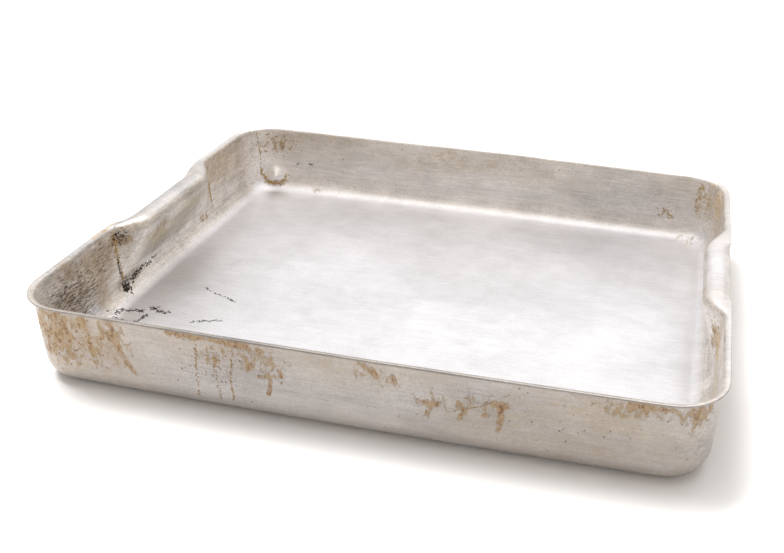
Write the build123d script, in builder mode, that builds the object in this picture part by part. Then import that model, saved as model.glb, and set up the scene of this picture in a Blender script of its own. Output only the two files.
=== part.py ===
from build123d import *

from math import radians, sqrt
import os

# A deep roasting pan, pressed cold from one sheet of aluminium. The wall turns out at the top into a
# narrow lip, and each short wall is pinched inwards under the lip, which leaves a ledge to lift by.
# Nothing is joined on, so the pan is one piece: the volume inside its outer skin, less its cavity.
#
# Millimetres. The origin is the middle of the underside, +X runs along the length and +Z is up.

# Over the rim
RIM_LENGTH = 520.0
RIM_WIDTH = 420.0
HEIGHT = 70.0
RIM_CORNER = 40.0
END_BOW = 1.8
SIDE_BOW = 3.4

# The sheet and its bends. A bend's radius is the one on its hollow side.
SHEET = 1.6
LIP_OVERHANG = 4.2
LIP_BEND = 3.0
FLOOR_BEND = 16.4
WALL_DRAFT = 1.0

# The grips. Each is a panel that leans in from the wall, between two facets. The depth is the inner
# skin's at the rim. The panel's two ends and the facets' two ends are places along Y at the rim, and
# the base's are where the facets meet the wall at the panel's foot.
GRIPS = (
    {"side": -1, "depth": 24.0, "panel": (-41.0, 58.0), "mouth": (-75.0, 95.0), "base": (-66.0, 92.0)},
    {"side": 1, "depth": 20.0, "panel": (-45.0, 44.0), "mouth": (-76.0, 81.0), "base": (-72.0, 72.0)},
)
GRIP_BASE = 20.0
RIDGE_BEND = 8.0
VALLEY_BEND = 5.0

# Over a grip the lip's edge is rolled down for the fingers: a length of it, turned through an angle.
# The roll is whole between its first two places along Y, and flat again beyond the other two.
ROLLS = (
    {"side": -1, "length": 11.0, "angle": 90.0, "whole": (-30.0, 34.0), "flat": (-60.0, 79.0)},
    {"side": 1, "length": 8.2, "angle": 65.0, "whole": (-44.0, 40.0), "flat": (-59.0, 56.0)},
)

# The inner skin's half length at the rim, and how far a cutting shape runs past what it cuts
INNER_WALL = RIM_LENGTH / 2 - LIP_OVERHANG - SHEET
MARGIN = 6.0


def bowed_rectangle(inset):
    """The rim's outline moved in by inset, with bowed sides and round corners."""
    x = RIM_LENGTH / 2 - inset
    y = RIM_WIDTH / 2 - inset
    corner_x = x - END_BOW
    corner_y = y - SIDE_BOW
    with BuildSketch() as outline:
        with BuildLine():
            ThreePointArc((-corner_x, -corner_y), (0, -y), (corner_x, -corner_y))
            ThreePointArc((corner_x, -corner_y), (x, 0), (corner_x, corner_y))
            ThreePointArc((corner_x, corner_y), (0, y), (-corner_x, corner_y))
            ThreePointArc((-corner_x, corner_y), (-x, 0), (-corner_x, -corner_y))
        make_face()
        fillet(outline.vertices(), RIM_CORNER - inset)
    return outline.sketch


def rim_reach(y):
    """How far the rim's bowed end stands from the middle of the pan at this y."""
    half_chord = RIM_WIDTH / 2 - SIDE_BOW
    radius = (half_chord**2 + END_BOW**2) / (2 * END_BOW)
    return RIM_LENGTH / 2 - radius + sqrt(radius**2 - y**2)


def pinch(grip, skin):
    """The wedge that a grip presses out of the pan, for the skin this far outside the inner one."""
    side = grip["side"]
    along = Vector(0, 1, 0)
    base = Vector(side * INNER_WALL, 0, GRIP_BASE)
    mouth = Vector(side * INNER_WALL, 0, HEIGHT)
    ledge = Vector(side * (INNER_WALL - grip["depth"]), 0, HEIGHT)
    panel = Plane(base, x_dir=along, z_dir=(ledge - base).cross(along) * side)
    half_depth = grip["depth"] + 2 * MARGIN
    half_width = max(grip["mouth"]) + 5 * MARGIN
    with BuildPart() as wedge:
        with BuildSketch(Plane.XY.offset(HEIGHT + MARGIN)):
            with Locations((mouth.X, mouth.Y)):
                Rectangle(2 * half_depth, 2 * half_width)
        extrude(amount=-HEIGHT)
        split(bisect_by=panel.offset(-skin), keep=Keep.BOTTOM)
        for hand, end in ((-1, 0), (1, 1)):
            corner = mouth + along * grip["mouth"][end]
            across = ledge + along * grip["panel"][end] - corner
            down = base + along * grip["base"][end] - corner
            facet = Plane(corner, x_dir=down, z_dir=down.cross(across) * (side * hand))
            split(bisect_by=facet.offset(-skin), keep=Keep.BOTTOM)
        panel_face = wedge.faces().sort_by(Axis.X, reverse=side < 0)[0]
        ridges = panel_face.edges().filter_by(Axis.Y, reverse=True)
        fillet(ridges, RIDGE_BEND + SHEET - skin)
    return wedge.part


def in_valley(edge):
    """True for an edge where a grip's faces meet the wall."""
    middle = edge.center()
    return abs(middle.X) > INNER_WALL - VALLEY_BEND and GRIP_BASE < middle.Z < HEIGHT - SHEET


def pressed_volume(skin):
    """Everything inside the skin that lies this far outside the pan's inner one."""
    wedges = [pinch(grip, skin) for grip in GRIPS]
    with BuildPart() as volume:
        with BuildSketch(Plane.XY.offset(HEIGHT)):
            add(bowed_rectangle(LIP_OVERHANG + SHEET - skin))
        extrude(amount=HEIGHT - SHEET + skin, dir=(0, 0, -1), taper=WALL_DRAFT)
        fillet(volume.edges().group_by(Axis.Z)[0], FLOOR_BEND + skin)
        for wedge in wedges:
            walls = volume.edges()
            add(wedge, mode=Mode.SUBTRACT)
            fillet((volume.edges() - walls).filter_by(in_valley), VALLEY_BEND + skin)
    return volume.part


def lip_section(side, y, length, angle):
    """The lip over a grip, cut across at y: flat if the angle is zero, else rolled down by it."""
    root = side * (RIM_LENGTH / 2 - length)
    under = HEIGHT - SHEET
    with BuildSketch(Plane.XZ.offset(-y)) as section:
        with BuildLine():
            if angle:
                bend = length / radians(angle)
                top = JernArc((root, HEIGHT), (side, 0), bend, -side * angle)
                low = JernArc((root, under), (side, 0), bend - SHEET, -side * angle)
            else:
                top = Line((root, HEIGHT), (side * rim_reach(y), HEIGHT))
                low = Line((root, under), (side * rim_reach(y), under))
            Line(top @ 1, low @ 1)
            Line(low @ 0, top @ 0)
        make_face()
    return section.sketch


def rolled_edge(roll):
    """The lip's edge over one grip, from where it starts to roll down to where it is flat again."""
    places = (roll["flat"][0], *roll["whole"], roll["flat"][1])
    angles = (0, roll["angle"], roll["angle"], 0)
    with BuildPart() as edge:
        sections = [lip_section(roll["side"], y, roll["length"], a) for y, a in zip(places, angles)]
        loft(sections, ruled=True)
    return edge.part


cavity = pressed_volume(0.0)
outer_skin = pressed_volume(SHEET)
rolled_edges = [rolled_edge(roll) for roll in ROLLS]

with BuildPart() as pan:
    # The lip starts as a plate over everything, bent into the outer skin below it
    with BuildSketch(Plane.XY.offset(HEIGHT)):
        add(bowed_rectangle(0))
    extrude(amount=-SHEET)
    plate = pan.edges()
    add(outer_skin)
    under_lip = (pan.edges() - plate).filter_by_position(Axis.Z, HEIGHT - SHEET, HEIGHT - SHEET)
    fillet(under_lip, LIP_BEND)

    # The cavity opens the plate, and leaves the lip and the two ledges
    add(cavity, mode=Mode.SUBTRACT)
    lip_top = pan.faces().filter_by(Plane.XY).sort_by(Axis.Z)[-1]
    fillet(lip_top.inner_wires()[0].edges(), LIP_BEND + SHEET)

    # The flat edge over each grip gives way to the rolled one
    for roll, edge in zip(ROLLS, rolled_edges):
        first, last = roll["flat"]
        reach = roll["length"] + MARGIN
        outermost = RIM_LENGTH / 2 + MARGIN
        with BuildSketch(Plane.XY.offset(HEIGHT + MARGIN)):
            with Locations((roll["side"] * (outermost - reach / 2), (first + last) / 2)):
                Rectangle(reach, last - first)
        extrude(amount=-2 * MARGIN, mode=Mode.SUBTRACT)
        add(edge)

pan.part.label = "pan"
os.makedirs("parts", exist_ok=True)
export_step(pan.part, "parts/pan.step")
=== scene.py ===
import math
import random

import bpy
import numpy as np
from mathutils import Matrix, Vector, noise
from mathutils.bvhtree import BVHTree


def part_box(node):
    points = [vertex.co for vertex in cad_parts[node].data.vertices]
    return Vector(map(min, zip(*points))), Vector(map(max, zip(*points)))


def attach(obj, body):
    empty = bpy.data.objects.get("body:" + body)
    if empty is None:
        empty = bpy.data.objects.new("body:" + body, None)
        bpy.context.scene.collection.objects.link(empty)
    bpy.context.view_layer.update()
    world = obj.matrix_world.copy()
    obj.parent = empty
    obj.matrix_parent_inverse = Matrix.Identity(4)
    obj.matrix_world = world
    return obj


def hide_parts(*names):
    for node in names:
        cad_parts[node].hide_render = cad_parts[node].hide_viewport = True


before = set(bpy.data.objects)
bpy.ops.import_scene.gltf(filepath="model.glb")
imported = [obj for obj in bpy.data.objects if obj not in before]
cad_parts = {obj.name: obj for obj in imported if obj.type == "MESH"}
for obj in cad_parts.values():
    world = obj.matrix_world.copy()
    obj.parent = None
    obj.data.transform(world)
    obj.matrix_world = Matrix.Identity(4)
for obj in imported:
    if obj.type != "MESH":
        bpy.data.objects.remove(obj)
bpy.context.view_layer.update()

# The looks of a pressed aluminium roasting pan that has seen years of use. Metres, +Z up, +X along the
# pan, and the camera's side is -Y. The pan is one sheet, so one mesh stands for the CAD node: the
# inner skin is worked out first, and the outer one is the same surface a sheet's thickness further out.

LOW, HIGH = (Vector(corner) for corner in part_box("pan"))

# Over the rim, from the frame
HALF_LENGTH = max(HIGH.x, -LOW.x)
HALF_WIDTH = HIGH.y
HEIGHT = HIGH.z

# The pressing, as in the CAD model
RIM_CORNER = 0.040
END_BOW = 0.0018
SIDE_BOW = 0.0034
SHEET = 0.0016
LIP_OVERHANG = 0.0042
LIP_BEND = 0.0030
FLOOR_BEND = 0.0164
DRAFT = math.tan(math.radians(1.0))
GRIP_BASE = 0.020

# Each grip, by its side along X: its depth at the rim, and where its faces end along Y, the front end
# and then the back one. The mouth is at the rim, and the base is at the panel's foot.
GRIPS = {
    -1: {"depth": 0.024, "panel": (-0.041, 0.058), "mouth": (-0.075, 0.095), "base": (-0.066, 0.092)},
    1: {"depth": 0.020, "panel": (-0.045, 0.044), "mouth": (-0.076, 0.081), "base": (-0.072, 0.072)},
}

# The lip's edge rolled down over each grip: how much of it, and how far. The roll is whole between the
# first two places along Y and gone beyond the other two, more gradually than in the CAD model. The
# ledge is crowned across, and its bend into the panel and the bends beside the panel are softer.
ROLLS = {
    -1: {"length": 0.0120, "angle": math.radians(90.0), "whole": (-0.032, 0.040), "flat": (-0.068, 0.088)},
    1: {"length": 0.0082, "angle": math.radians(62.0), "whole": (-0.044, 0.038), "flat": (-0.062, 0.060)},
}
LEDGE_CROWN = 0.0007
LEDGE_SOFTER = 0.0045
LEDGE_SOFT_DEPTH = 0.020
LEDGE_THICKNESS = 0.003
RIDGE_SOFT = 0.006
VALLEY_SOFT = 0.0025

# Years of use: slow waves in the sheet, a rim slightly out of true, and a dent from outside
WAVE_SCALE = 9.0
RIPPLE_SCALE = 34.0
WALL_WAVE = 0.0007
FLOOR_WAVE = 0.0006
RIPPLE = 0.00012
RIM_SAG = 0.0003
RIM_SAG_SPAN = 0.03
BACK_RIGHT_SAG = 0.0020
BACK_LEFT_BULGE = 0.0020
DENT = {"at": (-0.2262, 0.1996, 0.0155), "reach": 0.0145, "depth": 0.0095}

# Where something fades in over the sheet: the height, place or distance from the rim that it starts
# at, and how much further on it is whole. A minus sign means that it fades in as that measure falls.
WAVES_BELOW_RIM = (0.0, 0.012)
WAVES_UP_WALL = (0.020, 0.02)
WAVES_ON_FLOOR = (0.024, 0.05)
BACK_WALL = (0.0, 0.15)
BACK_SAG = (0.0, 0.24)
BACK_BULGE = (0.08, 0.14)
BULGE_UP_WALL = (0.0, 0.02)
FLOOR_FROM_RIM = (0.009, 0.012)
FLOOR_LOW = (0.020, -0.014)
TOP_HIGH = (0.060, 0.004)
TOP_FROM_FRONT = (-0.19, 0.05)
BEND_LOW = (0.024, -0.006)
PAINTED_FOOT_LIGHT_LOW = (0.034, -0.026)
TAN_HIGH = (0.040, 0.026)
LIP_HIGH = (0.0665, 0.0025)

# The same for how far a normal is turned, up or along the pan
TOP_FACES_UP = (0.6, 0.3)
BEND_FACES_UP = (0.10, 0.3)
BEND_NOT_LEVEL = (0.998, -0.03)
FACES_ALONG = (0.4, 0.3)

# A normal at least this upright is level, and a point no further than this above the floor is on it
LEVEL = 0.999
FLOOR_TOLERANCE = 0.0002

# The metal's colours, and those of what is baked on to it
OUTER_METAL = (0.375, 0.350, 0.336)
WALL_METAL = (0.87, 0.835, 0.805)
FLOOR_METAL = (0.86, 0.865, 0.900)
TAN_OUTSIDE = (0.345, 0.275, 0.185)
TAN_INSIDE = (0.52, 0.405, 0.215)
SCORCH_OCHRE = (0.39, 0.260, 0.105)
SCORCH_GOLD = (0.46, 0.305, 0.120)
SCORCH_DARK = (0.175, 0.072, 0.030)
SPECK_GOLD = (0.40, 0.26, 0.090)
SOOT_BROWN = (0.050, 0.033, 0.021)
SOOT_FILM = (0.34, 0.235, 0.140)
CRUST_BLACK = (0.014, 0.011, 0.009)
DRIP_BROWN = (0.21, 0.125, 0.045)
DRIP_GOLD = (0.38, 0.265, 0.105)
VARNISH_BROWN = (0.36, 0.215, 0.070)
VARNISH_GOLD = (0.56, 0.390, 0.150)

# The studio's colours
STUDIO_WHITE = (0.93, 0.93, 0.93, 1)
STUDIO_LIGHT = (1.0, 0.935, 0.885, 1)

# How metallic and how rough the sheet is, and what the dirt on it makes of that
METALLIC_OUTSIDE = 0.55
METALLIC_GAINED_INSIDE = 0.42
METALLIC_DIRT = 0.35
ROUGH_METAL = 0.33
ROUGH_DIRT = 0.72
SHEET_RELIEF = 0.00010
LUMP_RELIEF = 0.0002

# Noise seldom goes beyond these two values
NOISE_LOW = 0.34
NOISE_HIGH = 0.66

# Where the wear is, with one patch of painted shade. Each patch is an ellipsoid with a middle and half
# sizes, or a line with a half width, and a strength. It is whole in its middle and fades out at its edge,
# this many reaches away.
PATCH_EDGE = 1.25

# Soot, on the inside of the sheet only
SOOT = (
    {"at": (-0.254, -0.140, 0.036), "reach": (0.020, 0.062, 0.040), "strength": 0.85},
    {"at": (-0.250, -0.092, 0.048), "reach": (0.016, 0.024, 0.030), "strength": 0.70},
    {"at": (-0.240, -0.180, 0.026), "reach": (0.028, 0.028, 0.034), "strength": 1.00},
    {"at": (-0.248, -0.070, 0.058), "reach": (0.014, 0.014, 0.012), "strength": 0.80},
    {"at": (-0.250, -0.060, 0.016), "reach": (0.012, 0.030, 0.007), "strength": 0.80},
)

# Scorching that shows on both sides of the sheet, and then what is on the outside only
SCORCH = (
    {"at": (-0.224, 0.203, 0.053), "reach": (0.036, 0.018, 0.017), "strength": 0.58},
    {"at": (-0.178, 0.196, 0.006), "reach": (0.016, 0.012, 0.004), "strength": 0.50},
    {"at": (0.202, 0.203, 0.024), "reach": (0.012, 0.014, 0.009), "strength": 0.55},
    {"at": (-0.228, 0.203, 0.009), "reach": (0.020, 0.016, 0.007), "strength": 1.30},
    {"at": (-0.252, 0.100, 0.045), "reach": (0.012, 0.012, 0.030), "strength": 0.50},
    {"at": (-0.252, 0.078, 0.014), "reach": (0.012, 0.014, 0.006), "strength": 0.90},
    {"at": (0.248, 0.170, 0.048), "reach": (0.016, 0.034, 0.028), "strength": 0.70},
    {"at": (0.228, 0.184, 0.006), "reach": (0.024, 0.014, 0.007), "strength": 0.75},
    {"at": (0.250, -0.080, 0.044), "reach": (0.014, 0.024, 0.018), "strength": 1.10},
    {"at": (0.253, -0.125, 0.030), "reach": (0.010, 0.040, 0.020), "strength": 0.55},
    {"at": (-0.244, -0.020, 0.052), "reach": (0.012, 0.030, 0.014), "strength": 0.62},
    {"line": ((0.232, 0.199, 0.060), (0.232, 0.198, 0.024)), "width": 0.007, "strength": 0.50},
    {"line": ((0.241, 0.193, 0.064), (0.241, 0.192, 0.032)), "width": 0.005, "strength": 0.60},
    {"at": (-0.250, -0.064, 0.057), "reach": (0.010, 0.021, 0.009), "strength": 1.10},
    {"line": ((-0.257, -0.096, 0.070), (-0.257, -0.058, 0.069),
              (-0.2545, -0.044, 0.067), (-0.2525, -0.036, 0.068)),
     "width": 0.0015, "strength": 1.15},
    {"line": ((-0.250, 0.045, 0.069), (-0.249, 0.060, 0.069)), "width": 0.003, "strength": 0.60},
)
FRONT_SCORCH = (
    {"at": (-0.225, -0.207, 0.044), "reach": (0.040, 0.024, 0.034), "strength": 0.95},
    {"at": (-0.185, -0.207, 0.046), "reach": (0.030, 0.012, 0.030), "strength": 0.65},
    {"at": (-0.096, -0.207, 0.048), "reach": (0.022, 0.012, 0.026), "strength": 0.50},
    {"at": (-0.060, -0.207, 0.052), "reach": (0.026, 0.012, 0.016), "strength": 0.62},
    {"at": (0.030, -0.207, 0.056), "reach": (0.030, 0.012, 0.010), "strength": 0.50},
    {"at": (0.085, -0.207, 0.044), "reach": (0.040, 0.012, 0.016), "strength": 0.46},
    {"at": (0.196, -0.207, 0.059), "reach": (0.046, 0.016, 0.009), "strength": 0.62},
    {"at": (0.246, -0.200, 0.058), "reach": (0.022, 0.018, 0.018), "strength": 0.90},
    {"line": ((-0.228, -0.205, 0.060), (-0.230, -0.205, 0.034), (-0.228, -0.205, 0.022)),
     "width": 0.007, "strength": 0.95},
    {"line": ((-0.214, -0.205, 0.056), (-0.212, -0.205, 0.044), (-0.213, -0.205, 0.028)),
     "width": 0.006, "strength": 1.00},
    {"line": ((-0.199, -0.205, 0.063), (-0.197, -0.205, 0.052), (-0.193, -0.205, 0.027)),
     "width": 0.005, "strength": 0.95},
    {"line": ((-0.186, -0.205, 0.063), (-0.183, -0.205, 0.050)), "width": 0.004, "strength": 0.85},
    {"line": ((-0.175, -0.205, 0.061), (-0.174, -0.205, 0.052),
              (-0.167, -0.205, 0.032), (-0.160, -0.205, 0.023)),
     "width": 0.004, "strength": 0.95},
    {"line": ((-0.130, -0.205, 0.064), (-0.092, -0.205, 0.064), (-0.070, -0.205, 0.063)),
     "width": 0.004, "strength": 1.05},
    {"line": ((-0.073, -0.205, 0.060), (-0.058, -0.205, 0.059), (-0.053, -0.205, 0.053)),
     "width": 0.005, "strength": 0.75},
    {"line": ((-0.063, -0.205, 0.039), (-0.046, -0.205, 0.042)), "width": 0.0026, "strength": 0.95},
    {"line": ((-0.053, -0.205, 0.040), (-0.056, -0.205, 0.025)), "width": 0.0026, "strength": 1.00},
    {"line": ((0.013, -0.205, 0.064), (0.024, -0.205, 0.057)), "width": 0.004, "strength": 0.85},
    {"line": ((0.056, -0.205, 0.041), (0.067, -0.205, 0.041)), "width": 0.004, "strength": 0.90},
    {"line": ((0.062, -0.205, 0.040), (0.060, -0.205, 0.030)), "width": 0.003, "strength": 0.90},
    {"line": ((0.082, -0.205, 0.045), (0.086, -0.205, 0.038), (0.083, -0.205, 0.032)),
     "width": 0.0026, "strength": 1.00},
    {"line": ((0.103, -0.205, 0.048), (0.116, -0.205, 0.047)), "width": 0.005, "strength": 0.85},
    {"line": ((0.112, -0.205, 0.046), (0.111, -0.205, 0.027)), "width": 0.004, "strength": 1.00},
    {"line": ((0.196, -0.205, 0.0635), (0.238, -0.205, 0.0635)), "width": 0.004, "strength": 1.10},
)

# Specks on the inside, and then those on the outside
SPECKS = (
    {"at": (-0.225, 0.203, 0.053), "reach": (0.034, 0.018, 0.018), "strength": 0.9},
    {"at": (0.201, 0.203, 0.024), "reach": (0.014, 0.014, 0.010), "strength": 1.0},
    {"at": (0.228, 0.184, 0.006), "reach": (0.026, 0.016, 0.008), "strength": 0.9},
    {"at": (0.248, -0.078, 0.054), "reach": (0.018, 0.026, 0.014), "strength": 0.6},
    {"at": (0.234, 0.198, 0.044), "reach": (0.014, 0.016, 0.026), "strength": 0.9},
)
FRONT_SPECKS = (
    {"at": (-0.098, -0.207, 0.045), "reach": (0.030, 0.012, 0.022), "strength": 0.45},
    {"at": (-0.222, -0.205, 0.042), "reach": (0.048, 0.030, 0.030), "strength": 0.72},
    {"at": (0.190, -0.207, 0.036), "reach": (0.060, 0.016, 0.032), "strength": 0.16},
)

# The tan film on both sides, wall patches inside that are rubbed as clean as the floor, and how much darker
# the metal is made on both sides: where it is tarnished, and as painted shade on the floor's left part
TAN = (
    {"at": (-0.220, -0.200, 0.040), "reach": (0.080, 0.040, 0.060), "strength": 0.9},
    {"at": (0.160, -0.200, 0.034), "reach": (0.110, 0.040, 0.060), "strength": 0.75},
    {"at": (-0.240, 0.010, 0.045), "reach": (0.024, 0.080, 0.030), "strength": 1.0},
    {"at": (-0.050, -0.205, 0.060), "reach": (0.150, 0.020, 0.022), "strength": 0.6},
    {"at": (0.000, 0.205, 0.060), "reach": (0.300, 0.020, 0.026), "strength": 0.62},
    {"at": (-0.240, 0.130, 0.050), "reach": (0.030, 0.080, 0.040), "strength": 1.0},
    {"at": (0.245, 0.140, 0.050), "reach": (0.030, 0.090, 0.040), "strength": 1.0},
    {"at": (0.250, -0.125, 0.040), "reach": (0.020, 0.060, 0.040), "strength": 1.0},
    {"at": (-0.250, -0.120, 0.045), "reach": (0.030, 0.080, 0.050), "strength": 0.9},
)
CLEAN = (
    {"at": (0.247, 0.000, 0.069), "reach": (0.013, 0.060, 0.016), "strength": 0.85},
    {"at": (-0.250, -0.118, 0.012), "reach": (0.016, 0.014, 0.010), "strength": 0.90},
)
TARNISH_AND_PAINTED_SHADE = (
    # Painted shade: the floor's left part is made darker where its light and reflection are weaker
    {"at": (-0.205, 0.010, 0.002), "reach": (0.085, 0.170, 0.012), "strength": 0.075},
    {"at": (-0.242, 0.008, 0.042), "reach": (0.024, 0.085, 0.034), "strength": 0.42},
    {"at": (-0.248, 0.010, 0.070), "reach": (0.016, 0.110, 0.006), "strength": 0.22},
    {"at": (-0.252, -0.140, 0.066), "reach": (0.016, 0.070, 0.012), "strength": 0.25},
    {"at": (0.160, 0.205, 0.035), "reach": (0.100, 0.016, 0.040), "strength": 0.16},
    {"at": (0.250, -0.130, 0.040), "reach": (0.016, 0.070, 0.040), "strength": 0.16},
    {"at": (0.110, -0.207, 0.045), "reach": (0.110, 0.020, 0.046), "strength": 0.13},
    {"at": (-0.030, -0.207, 0.050), "reach": (0.120, 0.020, 0.040), "strength": 0.08},
    {"at": (0.000, -0.208, 0.070), "reach": (0.300, 0.010, 0.005), "strength": 0.45},
    {"at": (-0.254, -0.110, 0.070), "reach": (0.006, 0.100, 0.005), "strength": 0.30},
)

# Burnt crust and dried drips, in lines along the sheet: a line's points, the number of flakes along
# it, how far they stray from it, their half width, and how much longer they are than wide
CRUST = (
    {"line": ((-0.252, -0.070, 0.013), (-0.249, -0.067, 0.008)),
     "flakes": 44, "stray": 0.0022, "size": 0.0013, "long": 1.6},
    {"line": ((-0.252, -0.062, 0.013), (-0.253, -0.040, 0.016), (-0.253, -0.013, 0.016)),
     "flakes": 78, "stray": 0.0014, "size": 0.0009, "long": 2.2},
    {"line": ((-0.248, -0.106, 0.004), (-0.240, -0.091, 0.002),
              (-0.232, -0.089, 0.002), (-0.225, -0.088, 0.002)),
     "flakes": 66, "stray": 0.0015, "size": 0.0006, "long": 3.6},
    {"line": ((-0.222, -0.080, 0.002), (-0.212, -0.085, 0.002), (-0.203, -0.086, 0.002)),
     "flakes": 44, "stray": 0.0012, "size": 0.0006, "long": 3.9},
    {"line": ((-0.177, -0.093, 0.002), (-0.168, -0.090, 0.002), (-0.156, -0.086, 0.002)),
     "flakes": 31, "stray": 0.0008, "size": 0.0005, "long": 4.5},
    {"line": ((-0.193, -0.036, 0.002), (-0.179, -0.044, 0.002),
              (-0.168, -0.046, 0.002), (-0.157, -0.053, 0.002)),
     "flakes": 37, "stray": 0.0005, "size": 0.0005, "long": 3.9},
    {"line": ((-0.246, -0.135, 0.006), (-0.238, -0.120, 0.003)),
     "flakes": 34, "stray": 0.0030, "size": 0.0006, "long": 3.6},
    {"line": ((-0.250, -0.075, 0.063), (-0.244, -0.064, 0.056)),
     "flakes": 34, "stray": 0.0030, "size": 0.0007, "long": 1.8},
    {"line": ((-0.253, -0.074, 0.062), (-0.252, -0.070, 0.020)),
     "flakes": 36, "stray": 0.0012, "size": 0.0006, "long": 2.4},
    {"line": ((-0.204, 0.205, 0.030), (-0.198, 0.205, 0.031)),
     "flakes": 12, "stray": 0.0011, "size": 0.0006, "long": 2.0},
    {"line": ((-0.188, 0.205, 0.032), (-0.182, 0.205, 0.031)),
     "flakes": 12, "stray": 0.0011, "size": 0.0006, "long": 2.0},
    {"line": ((-0.243, -0.107, 0.003), (-0.234, -0.106, 0.002)),
     "flakes": 26, "stray": 0.0013, "size": 0.0006, "long": 2.2},
    {"line": ((-0.223, -0.108, 0.002), (-0.219, -0.092, 0.002)),
     "flakes": 34, "stray": 0.0012, "size": 0.0006, "long": 3.4},
    {"line": ((-0.218, -0.084, 0.002), (-0.215, -0.077, 0.002)),
     "flakes": 14, "stray": 0.0005, "size": 0.0006, "long": 3.0},
    {"line": ((-0.2525, -0.072, 0.042), (-0.2525, -0.071, 0.022)),
     "flakes": 40, "stray": 0.0006, "size": 0.0006, "long": 2.4},
)
DRIPS_INSIDE = (
    {"line": ((-0.253, -0.073, 0.064), (-0.252, -0.071, 0.040), (-0.252, -0.068, 0.016)),
     "flakes": 84, "stray": 0.0009, "size": 0.0008, "long": 2.2},
    {"line": ((-0.254, 0.095, 0.066), (-0.253, 0.098, 0.047), (-0.253, 0.099, 0.019)),
     "flakes": 170, "stray": 0.0002, "size": 0.0008, "long": 3.0},
    {"line": ((-0.242, 0.193, 0.066), (-0.240, 0.194, 0.036), (-0.240, 0.192, 0.015)),
     "flakes": 66, "stray": 0.0002, "size": 0.0005, "long": 3.0},
    {"line": ((-0.240, 0.193, 0.0205), (-0.234, 0.194, 0.009),
              (-0.222, 0.197, 0.008), (-0.213, 0.201, 0.018)),
     "flakes": 90, "stray": 0.0010, "size": 0.0008, "long": 2.0},
)
DRIPS_OUTSIDE = (
    {"line": ((-0.109, -0.205, 0.058), (-0.111, -0.205, 0.039), (-0.112, -0.205, 0.013)),
     "flakes": 70, "stray": 0.0005, "size": 0.0006, "long": 1.6},
    {"line": ((-0.097, -0.205, 0.058), (-0.096, -0.205, 0.042), (-0.094, -0.205, 0.013)),
     "flakes": 60, "stray": 0.0007, "size": 0.0006, "long": 1.6},
    {"line": ((-0.081, -0.205, 0.058), (-0.085, -0.205, 0.035), (-0.084, -0.205, 0.014)),
     "flakes": 80, "stray": 0.0005, "size": 0.0006, "long": 1.6},
    {"line": ((0.074, -0.205, 0.035), (0.087, -0.205, 0.040), (0.098, -0.205, 0.044), (0.117, -0.204, 0.057)),
     "flakes": 69, "stray": 0.0002, "size": 0.0003, "long": 4.0},
)

# How much brighter the outer wall's foot is painted, as painted bounce light, how much of the floor's bright
# metal the rim's upward top gets, as a painted highlight, how much of the tan film is on every wall's upper
# part, and how much of it the lip has lost
PAINTED_FOOT_LIGHT = 0.29
RIM_PAINTED_HIGHLIGHT = 0.5
HIGH_TAN = 0.5
LIP_RUBBED = 0.8

# A flake's build. Its turn is how far it strays from its line's direction, its sizes are the least and
# the most of its mark's size, its outline is how uneven that size is round it, and its shoulder is the
# ring part way out that still stands off the sheet.
FLAKE_CORNERS = 8
FLAKE_LIFT = 0.00010
FLAKE_TOP = 1.2
FLAKE_SHOULDER = 0.6
FLAKE_TURN = 0.35
FLAKE_SIZES = (0.35, 1.3)
FLAKE_OUTLINE = (0.55, 1.25)

# How finely the sheet is divided, and how far in from the rim the floor's grid starts
LONG_SIDE_COLUMNS = 230
GRIP_STEP = 0.002
GRIP_SPAN = 0.106
PLAIN_END_COLUMNS = 14
CORNER_COLUMNS = 36
LEDGE_ROWS = 9
LEDGE_ROW_SPREAD = 1.3
LIP_ROWS = 7
WALL_ROWS = 22
BEND_ROWS = 13
RING_INSET = 0.031
RING_ROWS = 2
EDGE_ROWS = 3

# How many times a corner's centre is worked out, and how near the end of the pan a grip's columns are
CENTRE_PASSES = 8
END_BAND = 0.01


# ---------------------------------------------------------------- the sheet's shape

def smooth_min(a, b, width):
    """The smaller of two values, rounded off where they are within width of each other."""
    share = np.clip(0.5 + 0.5 * (b - a) / width, 0.0, 1.0)
    return b * (1 - share) + a * share - width * share * (1 - share)


def smooth_step(value):
    """0 up to 0 and 1 from 1, with a smooth rise between."""
    share = np.clip(value, 0.0, 1.0)
    return share * share * (3 - 2 * share)


def ramp(value, place):
    """0 up to where this place starts and 1 from its full distance on, with a straight rise between."""
    start, distance = place
    return np.clip((value - start) / distance, 0, 1)


def fade(value, place):
    """The same as a ramp, with a smooth rise."""
    start, distance = place
    return smooth_step((value - start) / distance)


def side_points(start, end, shares, half, bow, chord, axis, sign):
    """Points and outward normals along one bowed side, at these shares of the way to its end."""
    along = start + (end - start) * shares
    out = half - bow * (along / chord) ** 2
    slope = -2 * bow * along / chord**2
    length = np.sqrt(1 + slope**2)
    if axis == "x":
        points = np.stack([sign * out, along], 1)
        normals = np.stack([sign / length, -slope / length], 1)
    else:
        points = np.stack([along, sign * out], 1)
        normals = np.stack([-slope / length, sign / length], 1)
    return points, normals


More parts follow.
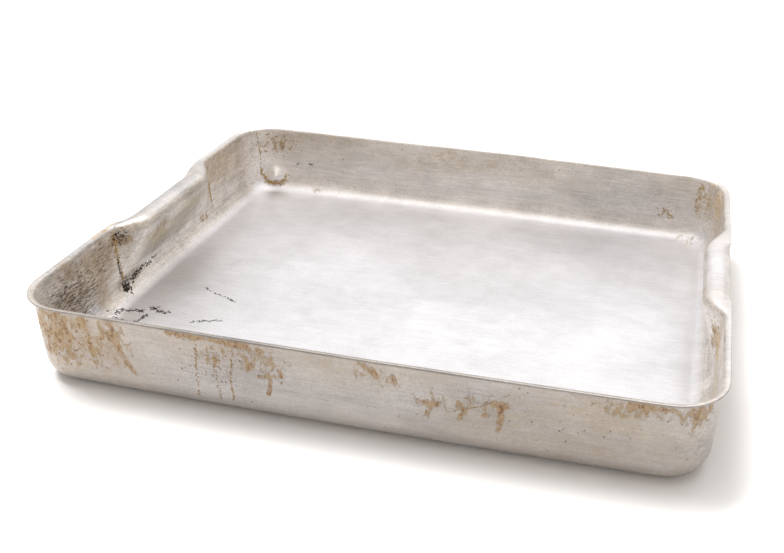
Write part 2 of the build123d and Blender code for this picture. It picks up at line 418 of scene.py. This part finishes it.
def rim_outline():
    """The rim's points and outward normals, anticlockwise from the near end of the right grip's side."""
    chord_x = HALF_LENGTH - END_BOW
    chord_y = HALF_WIDTH - SIDE_BOW

    # Each bow moves the corner's centre along the other one, so the two are found by turns
    centre_x = HALF_LENGTH - RIM_CORNER
    centre_y = HALF_WIDTH - RIM_CORNER
    for _ in range(CENTRE_PASSES):
        centre_x = HALF_LENGTH - RIM_CORNER - END_BOW * (centre_y / chord_y) ** 2
        centre_y = HALF_WIDTH - RIM_CORNER - SIDE_BOW * (centre_x / chord_x) ** 2
    end_tilt = math.atan(2 * END_BOW * centre_y / chord_y**2)
    side_tilt = math.atan(2 * SIDE_BOW * centre_x / chord_x**2)
    end_y = centre_y + RIM_CORNER * math.sin(end_tilt)
    side_x = centre_x + RIM_CORNER * math.sin(side_tilt)

    # The columns are even, and closer together where a grip may be
    grip_columns = round(2 * GRIP_SPAN / GRIP_STEP)
    plain = np.linspace(-end_y, -GRIP_SPAN, PLAIN_END_COLUMNS, endpoint=False)
    grip = np.linspace(-GRIP_SPAN, GRIP_SPAN, grip_columns, endpoint=False)
    end_along = np.concatenate([plain, grip, -plain[::-1] - (plain[1] - plain[0])])
    end_shares = (end_along + end_y) / (2 * end_y)
    side_shares = np.linspace(0, 1, LONG_SIDE_COLUMNS, endpoint=False)
    corner_shares = np.linspace(0, 1, CORNER_COLUMNS, endpoint=False)

    points = []
    normals = []
    for quarter in range(4):
        sign = 1 if quarter < 2 else -1
        if quarter % 2 == 0:
            reach = sign * end_y
            side = side_points(-reach, reach, end_shares, HALF_LENGTH, END_BOW, chord_y, "x", sign)
            first, last = end_tilt, math.pi / 2 - side_tilt
        else:
            reach = sign * side_x
            side = side_points(reach, -reach, side_shares, HALF_WIDTH, SIDE_BOW, chord_x, "y", sign)
            first, last = side_tilt, math.pi / 2 - end_tilt
        points.append(side[0])
        normals.append(side[1])
        angle = quarter * math.pi / 2 + first + (last - first) * corner_shares
        outward = np.stack([np.cos(angle), np.sin(angle)], 1)
        corner = np.array([(1, 1), (-1, 1), (-1, -1), (1, -1)][quarter])
        points.append(corner * [centre_x, centre_y] + RIM_CORNER * outward)
        normals.append(outward)
    return np.concatenate(points), np.concatenate(normals), len(end_shares)


def pinch_depth(side, y, z):
    """How far a grip pushes the inner wall in at this place along the end and this height."""
    grip = GRIPS[side]
    down = (HEIGHT - z) / (HEIGHT - GRIP_BASE)
    depth = grip["depth"] * (1 - down)
    for hand, end in ((-1, 0), (1, 1)):
        mouth = grip["mouth"][end] + (grip["base"][end] - grip["mouth"][end]) * down
        splay = abs(grip["mouth"][end] - grip["panel"][end]) / grip["depth"]
        depth = smooth_min(depth, (mouth - y) * hand / splay, RIDGE_SOFT)
    return -smooth_min(-depth, 0.0, VALLEY_SOFT)


def roll_share(side, y):
    """How much of a grip's roll the lip has at this place along the end, from 0 to 1."""
    whole = ROLLS[side]["whole"]
    flat = ROLLS[side]["flat"]
    end = 0 if y < sum(whole) / 2 else 1
    return float(smooth_step((flat[end] - y) / (flat[end] - whole[end])))


def column_profile(side, y):
    """The inner skin's profile at one column: insets from the rim and heights, from lip to floor."""
    def wall(z):
        pinched = pinch_depth(side, y, z) if side else 0.0
        return LIP_OVERHANG + SHEET + DRAFT * (HEIGHT - z) + pinched

    # The bend from the lip or ledge into the wall
    corner = wall(HEIGHT)
    softened = float(smooth_step((corner - LIP_OVERHANG - SHEET) / LEDGE_SOFT_DEPTH))
    top_bend = LIP_BEND + SHEET + LEDGE_SOFTER * softened
    fall = 0.008
    lean = (corner - wall(HEIGHT - fall)) / fall
    steep = math.hypot(lean, 1.0)
    run = top_bend / math.tan(0.5 * math.acos(lean / steep))
    turn = np.linspace(math.pi / 2, -math.atan(lean), LIP_ROWS)
    bend_inset = corner - run + top_bend * np.cos(turn)
    bend_height = HEIGHT - top_bend + top_bend * np.sin(turn)

    # The lip outside it, which rolls down over a grip
    roll = 0.0
    crown = 0.0
    length = 0.0
    if side:
        length = ROLLS[side]["length"]
        roll = ROLLS[side]["angle"] * roll_share(side, y)
        crown = LEDGE_CROWN * roll_share(side, y)
    spread = np.linspace(0, 1, LEDGE_ROWS, endpoint=False) ** LEDGE_ROW_SPREAD
    arc = SHEET / 2 + (corner - run - SHEET / 2) * spread
    lip_inset = arc.copy()
    lip_height = np.full(LEDGE_ROWS, HEIGHT)
    least_roll = 1e-4
    if roll > least_roll:
        radius = length / roll
        rolled = np.clip(length - arc, 0, None) / radius
        lip_inset = np.where(rolled > 0, length - radius * np.sin(rolled), arc)
        lip_height = HEIGHT - radius * (1 - np.cos(rolled))

    # The wall, the floor's bend and the floor's edge
    wall_top = bend_height[-1]
    bend_top = SHEET + FLOOR_BEND
    z = np.linspace(wall_top, bend_top, WALL_ROWS + 1)[1:]
    wall_inset = np.array([float(wall(level)) for level in z])
    turn = np.linspace(math.pi + math.atan(DRAFT), 1.5 * math.pi, BEND_ROWS + 1)[1:]
    centre = float(wall(bend_top)) + FLOOR_BEND
    floor_inset = centre + FLOOR_BEND * np.cos(turn)
    floor_height = SHEET + FLOOR_BEND + FLOOR_BEND * np.sin(turn)
    ring_inset = np.linspace(floor_inset[-1], RING_INSET, RING_ROWS + 1)[1:]

    inset = np.concatenate([lip_inset, bend_inset, wall_inset, floor_inset, ring_inset])
    height = np.concatenate([lip_height, bend_height, z, floor_height, np.full(RING_ROWS, SHEET)])
    if crown:
        ledge = np.clip((corner - inset) / corner, 0, 1)
        height = height - crown * (2 * ledge - 1) ** 2 * (height > HEIGHT - LEDGE_THICKNESS)
    return inset, height


def inner_wall():
    """The inner skin from the lip's edge to the floor's edge, as rows by columns of points."""
    points, normals, end_count = rim_outline()
    columns = []
    for (x, y), (nx, ny) in zip(points, normals):
        side = 0
        if abs(y) < GRIP_SPAN and abs(x) > HALF_LENGTH - END_BAND:
            side = 1 if x > 0 else -1
        inset, height = column_profile(side, y)
        columns.append(np.stack([x - nx * inset, y - ny * inset, height], 1))
    return np.stack(columns, 1), end_count


def floor_grid(ring, end_count):
    """A grid that fills the floor inside its edge ring, and each point's number on the ring or -1."""
    count = ring.shape[0]
    start = -(CORNER_COLUMNS // 2)
    tall = end_count + CORNER_COLUMNS
    wide = LONG_SIDE_COLUMNS + CORNER_COLUMNS
    turn = np.arange(start, start + 2 * (tall + wide) + 1) % count
    right_side = turn[:tall + 1]
    back_side = turn[tall:tall + wide + 1][::-1]
    left_side = turn[tall + wide:2 * tall + wide + 1][::-1]
    front_side = turn[2 * tall + wide:]
    right = ring[right_side]
    back = ring[back_side]
    left = ring[left_side]
    front = ring[front_side]
    u = np.linspace(0, 1, wide + 1)[:, None, None]
    v = np.linspace(0, 1, tall + 1)[None, :, None]
    grid = (1 - u) * left[None] + u * right[None] + (1 - v) * front[:, None] + v * back[:, None]
    grid -= (1 - v) * ((1 - u) * left[0] + u * right[0])
    grid -= v * ((1 - u) * left[-1] + u * right[-1])
    labels = -np.ones(grid.shape[:2], int)
    labels[-1, :] = right_side
    labels[:, -1] = back_side
    labels[0, :] = left_side
    labels[:, 0] = front_side
    return grid, labels


def skin_mesh():
    """The inner skin's points and quads, and how many points its lip's edge has, which come first."""
    wall, end_count = inner_wall()
    rows, columns = wall.shape[:2]
    grid, labels = floor_grid(wall[-1], end_count)
    number = np.where(labels >= 0, (rows - 1) * columns + labels, 0)
    inside = labels < 0
    number[inside] = rows * columns + np.arange(inside.sum())
    points = np.concatenate([wall.reshape(-1, 3), grid[inside]])
    row, column = np.meshgrid(np.arange(rows - 1), np.arange(columns), indexing="ij")
    upper = row * columns
    lower = upper + columns
    following = (column + 1) % columns
    wall_quads = np.stack([upper + column, upper + following, lower + following, lower + column], -1)
    floor_quads = np.stack([number[:-1, :-1], number[1:, :-1], number[1:, 1:], number[:-1, 1:]], -1)
    quads = np.concatenate([wall_quads.reshape(-1, 4), floor_quads.reshape(-1, 4)])
    return points, quads, columns


def point_normals(points, quads):
    """Each point's normal: the mean of those of the quads round it, by area."""
    a, b, c, d = (points[quads[:, corner]] for corner in range(4))
    face = np.cross(c - a, d - b)
    total = np.zeros_like(points)
    for corner in range(4):
        np.add.at(total, quads[:, corner], face)
    return total / np.linalg.norm(total, axis=1, keepdims=True)


def lip_edge(points, normals, columns):
    """The rows of points that round the lip's edge off, between the inner skin and the outer one."""
    out = points[:columns] - points[columns:2 * columns]
    out -= (out * normals[:columns]).sum(1, keepdims=True) * normals[:columns]
    out /= np.linalg.norm(out, axis=1, keepdims=True)
    middle = points[:columns] - normals[:columns] * SHEET / 2
    rows = []
    for row in range(EDGE_ROWS):
        angle = math.pi * (row + 1) / (EDGE_ROWS + 1)
        rows.append(middle + SHEET / 2 * (math.cos(angle) * normals[:columns] + math.sin(angle) * out))
    return rows


def wear_shares(points, normals, count):
    """How much of each kind of surface, wear or painted light every point has. The inner skin's come first.
    """
    x, y, z = points.T
    inside = np.zeros(len(points))
    inside[:count] = 1
    outside = 1 - inside
    upright = np.zeros(len(points))
    upright[:count] = normals[:, 2]
    slope = np.zeros(len(points))
    slope[:count] = np.abs(normals[:, 0])
    slope[count:2 * count] = slope[:count]

    # The floor, with what is rubbed as bright as it on the walls, and a painted highlight on top of the rim
    floor = fade(HALF_LENGTH - np.abs(x), FLOOR_FROM_RIM)
    floor *= fade(HALF_WIDTH - np.abs(y), FLOOR_FROM_RIM)
    floor *= fade(z, FLOOR_LOW) * inside
    floor = np.maximum(floor, share_of(points, CLEAN) * inside)
    # Painted highlight: the rim's upward-facing top, away from the front, gets part of the floor's bright
    # metal
    rim_top = fade(upright, TOP_FACES_UP) * fade(z, TOP_HIGH)
    floor = np.maximum(floor, RIM_PAINTED_HIGHLIGHT * rim_top * fade(y, TOP_FROM_FRONT))

    bend = fade(upright, BEND_FACES_UP) * fade(z, BEND_LOW) * fade(upright, BEND_NOT_LEVEL)
    # Painted bounce light: the outer wall is painted brighter towards its foot
    painted_foot_light = PAINTED_FOOT_LIGHT * fade(z, PAINTED_FOOT_LIGHT_LOW) * outside
    tan = np.maximum(share_of(points, TAN), HIGH_TAN * fade(z, TAN_HIGH))
    return {
        "inside": inside,
        "floor": floor,
        "ends": fade(slope, FACES_ALONG),
        "bend": bend,
        "soot": share_of(points, SOOT) * inside,
        "scorch": np.maximum(share_of(points, SCORCH), share_of(points, FRONT_SCORCH) * outside),
        "specks": np.where(inside > 0, share_of(points, SPECKS), share_of(points, FRONT_SPECKS)),
        # Tarnishing, with painted shade on the floor's left part, less the painted bounce light at the outer
        # wall's foot
        "tarnish_and_painted_light": share_of(points, TARNISH_AND_PAINTED_SHADE) - painted_foot_light,
        "tan": tan * (1 - LIP_RUBBED * fade(z, LIP_HIGH)),
    }


def make_pan():
    """The pan's mesh, and how many of its faces are the inner skin's, which come first."""
    points, quads, columns = skin_mesh()
    points = worn(points, point_normals(points, quads))
    normals = point_normals(points, quads)
    count = len(points)
    every = np.concatenate([points, points - normals * SHEET] + lip_edge(points, normals, columns))
    column = np.arange(columns)
    following = (column + 1) % columns
    strips = [column] + [2 * count + row * columns + column for row in range(EDGE_ROWS)] + [count + column]
    edge_quads = [
        np.stack([upper[following], upper[column], lower[column], lower[following]], 1)
        for upper, lower in zip(strips[:-1], strips[1:])
    ]
    faces = np.concatenate([quads, quads[:, ::-1] + count] + edge_quads)
    mesh = bpy.data.meshes.new("pan_sheet")
    mesh.from_pydata(every.tolist(), [], faces.tolist())
    mesh.validate()
    mesh.shade_smooth()
    for name, values in wear_shares(every, normals, count).items():
        attribute = mesh.attributes.new(name, "FLOAT", "POINT")
        attribute.data.foreach_set("value", values.astype(np.float32))
    sheet = bpy.data.objects.new("pan_sheet", mesh)
    bpy.context.collection.objects.link(sheet)
    return sheet, len(quads)


# ---------------------------------------------------------------- years of use, in the sheet

def worn(points, normals):
    """The inner skin with its dent, its slight waves, and its rim a little out of true."""
    moved = points.copy()
    x, y, z = points.T
    below_rim = HEIGHT - z
    level = normals[:, 2] > LEVEL
    wave = np.array([noise.noise(Vector(p) * WAVE_SCALE) for p in points.tolist()])
    ripple = np.array([noise.noise(Vector(p) * RIPPLE_SCALE) for p in points.tolist()])
    from_rim = np.minimum(HALF_LENGTH - np.abs(x), HALF_WIDTH - np.abs(y))
    on_floor = ramp(from_rim, WAVES_ON_FLOOR) * (z < SHEET + FLOOR_TOLERANCE)
    on_wall = ramp(below_rim, WAVES_BELOW_RIM) * ramp(z, WAVES_UP_WALL)
    push = on_wall * (WALL_WAVE * wave + RIPPLE * ripple)
    push += on_floor * (FLOOR_WAVE * (0.5 + wave) + RIPPLE * (0.5 + ripple))

    # The floor only rises, so that nothing comes out below the pan's underside
    push = np.where(on_floor > 0, np.clip(push, 0, None), push)
    away = np.linalg.norm(points - DENT["at"], axis=1) / DENT["reach"]
    push += DENT["depth"] * smooth_step(1 - away)
    moved += normals * push[:, None]
    near_rim = np.clip(1 - below_rim / RIM_SAG_SPAN, 0, 1)
    sag = RIM_SAG * (0.5 + 0.5 * ripple) * near_rim
    moved[:, 2] -= np.where(level | (near_rim > 0), sag, 0)
    back = fade(y, BACK_WALL)
    moved[:, 2] -= BACK_RIGHT_SAG * back * fade(x, BACK_SAG) * z / HEIGHT * (z > FLOOR_BEND)
    moved[:, 1] += BACK_LEFT_BULGE * back * fade(-x, BACK_BULGE) * ramp(z, BULGE_UP_WALL)
    return moved


def away_from(points, line):
    """How far each point is from a line through these places."""
    nearest = np.full(len(points), np.inf)
    for start, end in zip(line[:-1], line[1:]):
        along = np.subtract(end, start)
        share = np.clip((points - start) @ along / (along @ along), 0, 1)
        away = np.linalg.norm(points - start - share[:, None] * along, axis=1)
        nearest = np.minimum(nearest, away)
    return nearest


def share_of(points, patches):
    """How strongly these patches reach each point, by whichever reaches it most."""
    total = np.zeros(len(points))
    for patch in patches:
        if "line" in patch:
            away = away_from(points, patch["line"]) / patch["width"]
        else:
            away = np.linalg.norm((points - patch["at"]) / patch["reach"], axis=1)
        total = np.maximum(total, patch["strength"] * smooth_step(PATCH_EDGE - away))
    return total


# ---------------------------------------------------------------- materials

class Shading:
    """Short names for the nodes that a procedural material is put together from."""

    def __init__(self, name):
        self.material = bpy.data.materials.new(name)
        self.material.use_nodes = True
        self.tree = self.material.node_tree
        self.shader = self.tree.nodes["Principled BSDF"]
        self.place = self.node("ShaderNodeTexCoord", {}).outputs["Object"]

    def node(self, kind, inputs, **settings):
        """A new node. Each of its inputs is a value or another node's socket."""
        made = self.tree.nodes.new(kind)
        for name, value in settings.items():
            setattr(made, name, value)
        for name, value in inputs.items():
            if isinstance(value, bpy.types.NodeSocket):
                self.tree.links.new(value, made.inputs[name])
            else:
                made.inputs[name].default_value = value
        return made

    def math(self, operation, a, b, c=0.0):
        return self.node("ShaderNodeMath", {0: a, 1: b, 2: c}, operation=operation).outputs[0]

    def times(self, value, factor):
        return self.math("MULTIPLY", value, factor)

    def scaled(self, value, factor, plus):
        """The value times a factor, plus something."""
        return self.math("MULTIPLY_ADD", value, factor, plus)

    def share(self, name):
        """How much of this kind of surface, wear or painted light the mesh says there is."""
        return self.node("ShaderNodeAttribute", {}, attribute_name=name).outputs["Fac"]

    def noise(self, scale=1.0, detail=4.0, rough=0.5, stretch=(1, 1, 1), twist=0.0):
        """Noise whose scale is in cycles per metre, times the stretch along X, Y and Z."""
        stretched = self.node("ShaderNodeVectorMath", {0: self.place, 1: stretch}, operation="MULTIPLY")
        inputs = {
            "Vector": stretched.outputs[0],
            "Scale": scale,
            "Detail": detail,
            "Roughness": rough,
            "Distortion": twist,
        }
        return self.node("ShaderNodeTexNoise", inputs).outputs[0]

    def window(self, value, low, high):
        """0 where the value is under low, 1 where it is over high, and smooth between."""
        inputs = {"Value": value, "From Min": low, "From Max": high}
        return self.node("ShaderNodeMapRange", inputs, interpolation_type="SMOOTHSTEP").outputs[0]

    def full(self, noise):
        """Noise made to run all the way from 0 to 1."""
        return self.window(noise, NOISE_LOW, NOISE_HIGH)

    def mix(self, amount, under, over):
        """One colour over another, by this amount."""
        made = self.node("ShaderNodeMix", {0: amount}, data_type="RGBA")
        for name, value in ((6, under), (7, over)):
            if isinstance(value, bpy.types.NodeSocket):
                self.tree.links.new(value, made.inputs[name])
            else:
                made.inputs[name].default_value = (*value, 1.0)
        return made.outputs[2]

    def blend(self, amount, under, over):
        """The same for two numbers."""
        return self.node("ShaderNodeMix", {0: amount, 2: under, 3: over}, data_type="FLOAT").outputs[0]

    def plug(self, name, value):
        """Gives the shader's own input a value or a node's socket."""
        if isinstance(value, bpy.types.NodeSocket):
            self.tree.links.new(value, self.shader.inputs[name])
        else:
            self.shader.inputs[name].default_value = value

    def bump(self, height, distance):
        """Relief of this height, times this distance in metres."""
        inputs = {"Height": height, "Distance": distance, "Strength": 1.0}
        self.plug("Normal", self.node("ShaderNodeBump", inputs).outputs[0])


def aged_aluminium():
    """Satin aluminium: brushed and bright on the floor, tarnished on the walls, baked on in places, with some
    painted light and shade.
    """
    s = Shading("aged_aluminium")
    inside = s.share("inside")
    floor = s.share("floor")
    ends = s.share("ends")
    walls = s.math("SUBTRACT", 1.0, floor)

    # Brush lines run along the pan, except on its end walls, where they run across it
    lengthwise = s.noise(detail=4.0, rough=0.65, stretch=(34, 520, 520))
    crosswise = s.noise(detail=4.0, rough=0.65, stretch=(520, 34, 520))
    brushed = s.full(s.blend(ends, lengthwise, crosswise))
    smears = s.full(s.noise(detail=6.0, rough=0.6, stretch=(16, 46, 46), twist=0.3))
    clouds = s.noise(9.0, detail=4.0, rough=0.55)
    mottle = s.full(s.noise(52.0, detail=6.0, rough=0.62, twist=0.3))
    grain = s.full(s.noise(620.0, detail=3.0, rough=0.65))

    # The bare metal in its three places, less even on the walls than on the floor
    colour = s.mix(inside, OUTER_METAL, WALL_METAL)
    # The floor's share also carries the painted highlight on the rim's top
    colour = s.mix(floor, colour, FLOOR_METAL)
    uneven = 0.0
    for pattern, strength in ((brushed, 0.15), (grain, 0.15), (smears, 0.09), (mottle, 0.11)):
        uneven = s.scaled(s.math("SUBTRACT", pattern, 0.5), strength, plus=uneven)
    wall_unevenness = s.scaled(ends, 0.7, plus=0.55)
    uneven = s.times(uneven, s.scaled(walls, wall_unevenness, plus=0.45))
    shade = s.math("ADD", uneven, s.scaled(clouds, 0.30, plus=0.85))
    # Darker by the share of tarnishing. It also holds painted shade on the floor's left part and, where it is
    # below zero, painted bounce light at the outer wall's foot
    shade = s.math("SUBTRACT", shade, s.share("tarnish_and_painted_light"))
    colour = s.node("ShaderNodeVectorMath", {0: colour, 1: shade}, operation="MULTIPLY").outputs[0]

    # A thin tan film, streaky and in cloudy bands on the walls
    bands = s.window(s.noise(15.0, detail=5.0, rough=0.6, stretch=(0.6, 0.6, 1.7)), NOISE_LOW, 0.62)
    rubbed = s.window(s.noise(detail=7.0, rough=0.78, stretch=(150, 150, 380)), 0.38, 0.62)
    tan = s.share("tan")
    film = s.scaled(bands, 0.70, plus=s.times(tan, 0.30))
    film = s.times(film, s.scaled(rubbed, 0.65, plus=0.35))
    film = s.times(film, walls)
    film = s.times(film, s.scaled(tan, 0.84, plus=0.12))
    colour = s.mix(film, colour, s.mix(inside, TAN_OUTSIDE, TAN_INSIDE))

    # Ochre and brown scorching where the patches are, with dark flecks where it is thickest
    scorch = s.share("scorch")
    grounds = s.noise(150.0, detail=12.0, rough=0.80, stretch=(1, 1, 0.6), twist=0.5)
    thickness = s.scaled(scorch, 0.20, plus=grounds)
    burnt = s.times(s.window(thickness, 0.60, 0.67), s.window(scorch, 0.02, 0.2))
    flecks = s.window(s.noise(330.0, detail=8.0, rough=0.85, stretch=(1, 1, 0.6), twist=0.8), 0.47, 0.57)
    dark = s.times(flecks, s.window(thickness, 0.60, 0.74))
    brown = s.mix(dark, s.mix(inside, SCORCH_OCHRE, SCORCH_GOLD), SCORCH_DARK)
    opacity = s.scaled(dark, 0.36, plus=0.56)
    colour = s.mix(s.times(burnt, opacity), colour, brown)

    # Small specks, thickest where the patches are: brown outside and golden inside
    specks = s.share("specks")
    dots = s.window(s.scaled(specks, 0.16, plus=s.noise(360.0, detail=3.0, rough=0.5)), 0.69, 0.74)
    dots = s.times(dots, walls)
    colour = s.mix(s.times(dots, 0.75), colour, s.mix(inside, SCORCH_DARK, SPECK_GOLD))

    # Soot, rubbed into streaks along the wall
    soot = s.share("soot")
    streaks = s.noise(detail=8.0, rough=0.82, stretch=(560, 170, 760), twist=0.5)
    sooty = s.window(soot, 0.02, 0.5)
    colour = s.mix(s.times(s.times(sooty, smears), 0.60), colour, SOOT_FILM)
    black = s.window(s.scaled(soot, 0.16, plus=streaks), 0.58, 0.71)
    black = s.times(black, sooty)
    colour = s.mix(s.times(black, 0.94), colour, SOOT_BROWN)

    # Dirt is duller than metal, and it stands a little proud
    dirt = s.math("MAXIMUM", burnt, s.math("MAXIMUM", black, dots))
    s.plug("Base Color", colour)
    metallic = s.scaled(inside, METALLIC_GAINED_INSIDE, plus=METALLIC_OUTSIDE)
    s.plug("Metallic", s.blend(dirt, metallic, METALLIC_DIRT))
    rough = s.scaled(clouds, 0.14, plus=ROUGH_METAL)
    for pattern, strength in ((brushed, 0.06), (film, 0.12), (s.share("bend"), 0.09)):
        rough = s.scaled(pattern, strength, plus=rough)
    s.plug("Roughness", s.blend(dirt, rough, ROUGH_DIRT))
    height = s.scaled(brushed, 0.22, plus=s.times(grain, 0.18))
    height = s.scaled(dirt, 0.9, plus=height)
    s.bump(height, SHEET_RELIEF)
    return s.material


def burnt_matter(name, dark, light):
    """Something baked hard on to the pan: dull, lumpy and uneven in colour."""
    s = Shading(name)
    lumps = s.noise(900.0, detail=4.0, rough=0.6)
    s.plug("Base Color", s.mix(s.window(lumps, 0.40, 0.68), dark, light))
    s.plug("Roughness", s.scaled(lumps, 0.3, plus=0.45))
    s.plug("Specular IOR Level", 0.2)
    s.bump(lumps, LUMP_RELIEF)
    return s.material


# ---------------------------------------------------------------- crust and drips

def on_sheet(tree, place, lift):
    """The point of the sheet nearest this place, lifted off it along its normal."""
    nearest, normal, _, _ = tree.find_nearest(place)
    return nearest + normal * lift


def make_flakes(name, tree, marks, seed, material):
    """Low irregular domes that lie on the sheet along each mark's line."""
    chance = random.Random(seed)
    points = []
    faces = []
    for mark in marks:
        line = [Vector(point) for point in mark["line"]]
        for _ in range(mark["flakes"]):
            step = chance.uniform(0, len(line) - 1)
            first = min(int(step), len(line) - 2)
            along = line[first + 1] - line[first]
            centre = line[first] + along * (step - first)
            centre += Vector([chance.gauss(0, mark["stray"]) for _ in range(3)])
            nearest, normal, _, _ = tree.find_nearest(centre)
            along = along.normalized() + Vector([chance.gauss(0, FLAKE_TURN) for _ in range(3)])
            along = (along - normal * along.dot(normal)).normalized()
            across = normal.cross(along)
            size = mark["size"] * chance.uniform(*FLAKE_SIZES)
            start = len(points)
            points.append(on_sheet(tree, nearest, FLAKE_LIFT * FLAKE_TOP))
            ring = [chance.uniform(*FLAKE_OUTLINE) * size for _ in range(FLAKE_CORNERS)]
            for share, lift in ((FLAKE_SHOULDER, FLAKE_LIFT), (1.0, -FLAKE_LIFT)):
                for corner, radius in enumerate(ring):
                    angle = math.tau * corner / FLAKE_CORNERS
                    out = along * math.cos(angle) * mark["long"] + across * math.sin(angle)
                    points.append(on_sheet(tree, nearest + out * radius * share, lift))
            for corner in range(FLAKE_CORNERS):
                here = start + 1 + corner
                following = start + 1 + (corner + 1) % FLAKE_CORNERS
                faces.append((start, here, following))
                faces.append((here, here + FLAKE_CORNERS, following + FLAKE_CORNERS, following))
    mesh = bpy.data.meshes.new(name)
    mesh.from_pydata(points, [], faces)
    mesh.validate()
    mesh.shade_smooth()
    mesh.materials.append(material)
    flakes = bpy.data.objects.new(name, mesh)
    bpy.context.collection.objects.link(flakes)
    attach(flakes, "root")


# ---------------------------------------------------------------- floor, lights and camera

def make_floor():
    half = 6.0
    mesh = bpy.data.meshes.new("studio_floor")
    corners = [(x * half, y * half, LOW.z) for x, y in ((-1, -1), (1, -1), (1, 1), (-1, 1))]
    mesh.from_pydata(corners, [], [(0, 1, 2, 3)])
    material = bpy.data.materials.new("white_floor")
    material.use_nodes = True
    shader = material.node_tree.nodes["Principled BSDF"]
    shader.inputs["Base Color"].default_value = STUDIO_WHITE
    shader.inputs["Roughness"].default_value = 0.9
    mesh.materials.append(material)
    floor = bpy.data.objects.new("studio_floor", mesh)
    bpy.context.collection.objects.link(floor)


def make_light(name, place, size, power, seen_in_metal):
    """A lit panel that faces the pan."""
    light = bpy.data.lights.new(name, "AREA")
    light.shape = "RECTANGLE"
    light.size, light.size_y = size
    light.energy = power
    lamp = bpy.data.objects.new(name, light)
    lamp.location = place
    lamp.rotation_euler = (-Vector(place)).to_track_quat("-Z", "Y").to_euler()
    lamp.visible_glossy = seen_in_metal
    bpy.context.collection.objects.link(lamp)


def make_lights():
    world = bpy.data.worlds.new("studio")
    world.use_nodes = True
    background = world.node_tree.nodes["Background"]
    background.inputs["Color"].default_value = STUDIO_LIGHT
    background.inputs["Strength"].default_value = 0.60
    bpy.context.scene.world = world
    make_light("overhead", place=(-0.1, 0.45, 2.2), size=(2.8, 2.2), power=33, seen_in_metal=True)
    make_light("back_panel", place=(-0.3, 2.6, 1.5), size=(5.0, 2.4), power=9, seen_in_metal=True)
    make_light("shadow_caster", place=(-0.84, 0.58, 2.08), size=(1.8, 1.3), power=95, seen_in_metal=False)
    bpy.context.scene.view_settings.view_transform = "Standard"


def make_camera():
    """The camera that was fitted to the photo: off-centre, and turned a little about its own axis."""
    azimuth = math.radians(12.186)
    elevation = math.radians(27.923)
    roll = math.radians(1.933)
    distance = 0.9057
    target = Vector((0.0343, 0.0571, 0.0))
    back = Vector((
        math.sin(azimuth) * math.cos(elevation),
        -math.cos(azimuth) * math.cos(elevation),
        math.sin(elevation),
    ))
    right = (-back).cross(Vector((0, 0, 1))).normalized()
    up = right.cross(-back)
    rolled_right = right * math.cos(roll) + up * math.sin(roll)
    rolled_up = up * math.cos(roll) - right * math.sin(roll)
    data = bpy.data.cameras.new("camera")
    data.lens = 44.23
    data.sensor_width = 36
    data.shift_x = -0.106
    data.clip_start = 0.01
    camera = bpy.data.objects.new("camera", data)
    turn = Matrix((rolled_right, rolled_up, back)).transposed()
    camera.matrix_world = Matrix.Translation(target + back * distance) @ turn.to_4x4()
    bpy.context.collection.objects.link(camera)
    bpy.context.scene.camera = camera


pan, skin_quads = make_pan()
pan.data.materials.append(aged_aluminium())
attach(pan, "root")
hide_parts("pan")
corners = [vertex.co.copy() for vertex in pan.data.vertices]
polygons = [tuple(face.vertices) for face in pan.data.polygons]
inner_skin = BVHTree.FromPolygons(corners, polygons[:skin_quads])
outer_skin = BVHTree.FromPolygons(corners, polygons[skin_quads:2 * skin_quads])
drip = burnt_matter("dried_drip", DRIP_BROWN, DRIP_GOLD)
crust = burnt_matter("burnt_crust", CRUST_BLACK, SOOT_BROWN)
varnish = burnt_matter("dried_varnish", VARNISH_BROWN, VARNISH_GOLD)
make_flakes("burnt_crust", inner_skin, CRUST, seed=5, material=crust)
make_flakes("drips_inside", inner_skin, DRIPS_INSIDE, seed=7, material=varnish)
make_flakes("drips_outside", outer_skin, DRIPS_OUTSIDE, seed=11, material=drip)
make_floor()
make_lights()
make_camera()
bpy.context.view_layer.update()
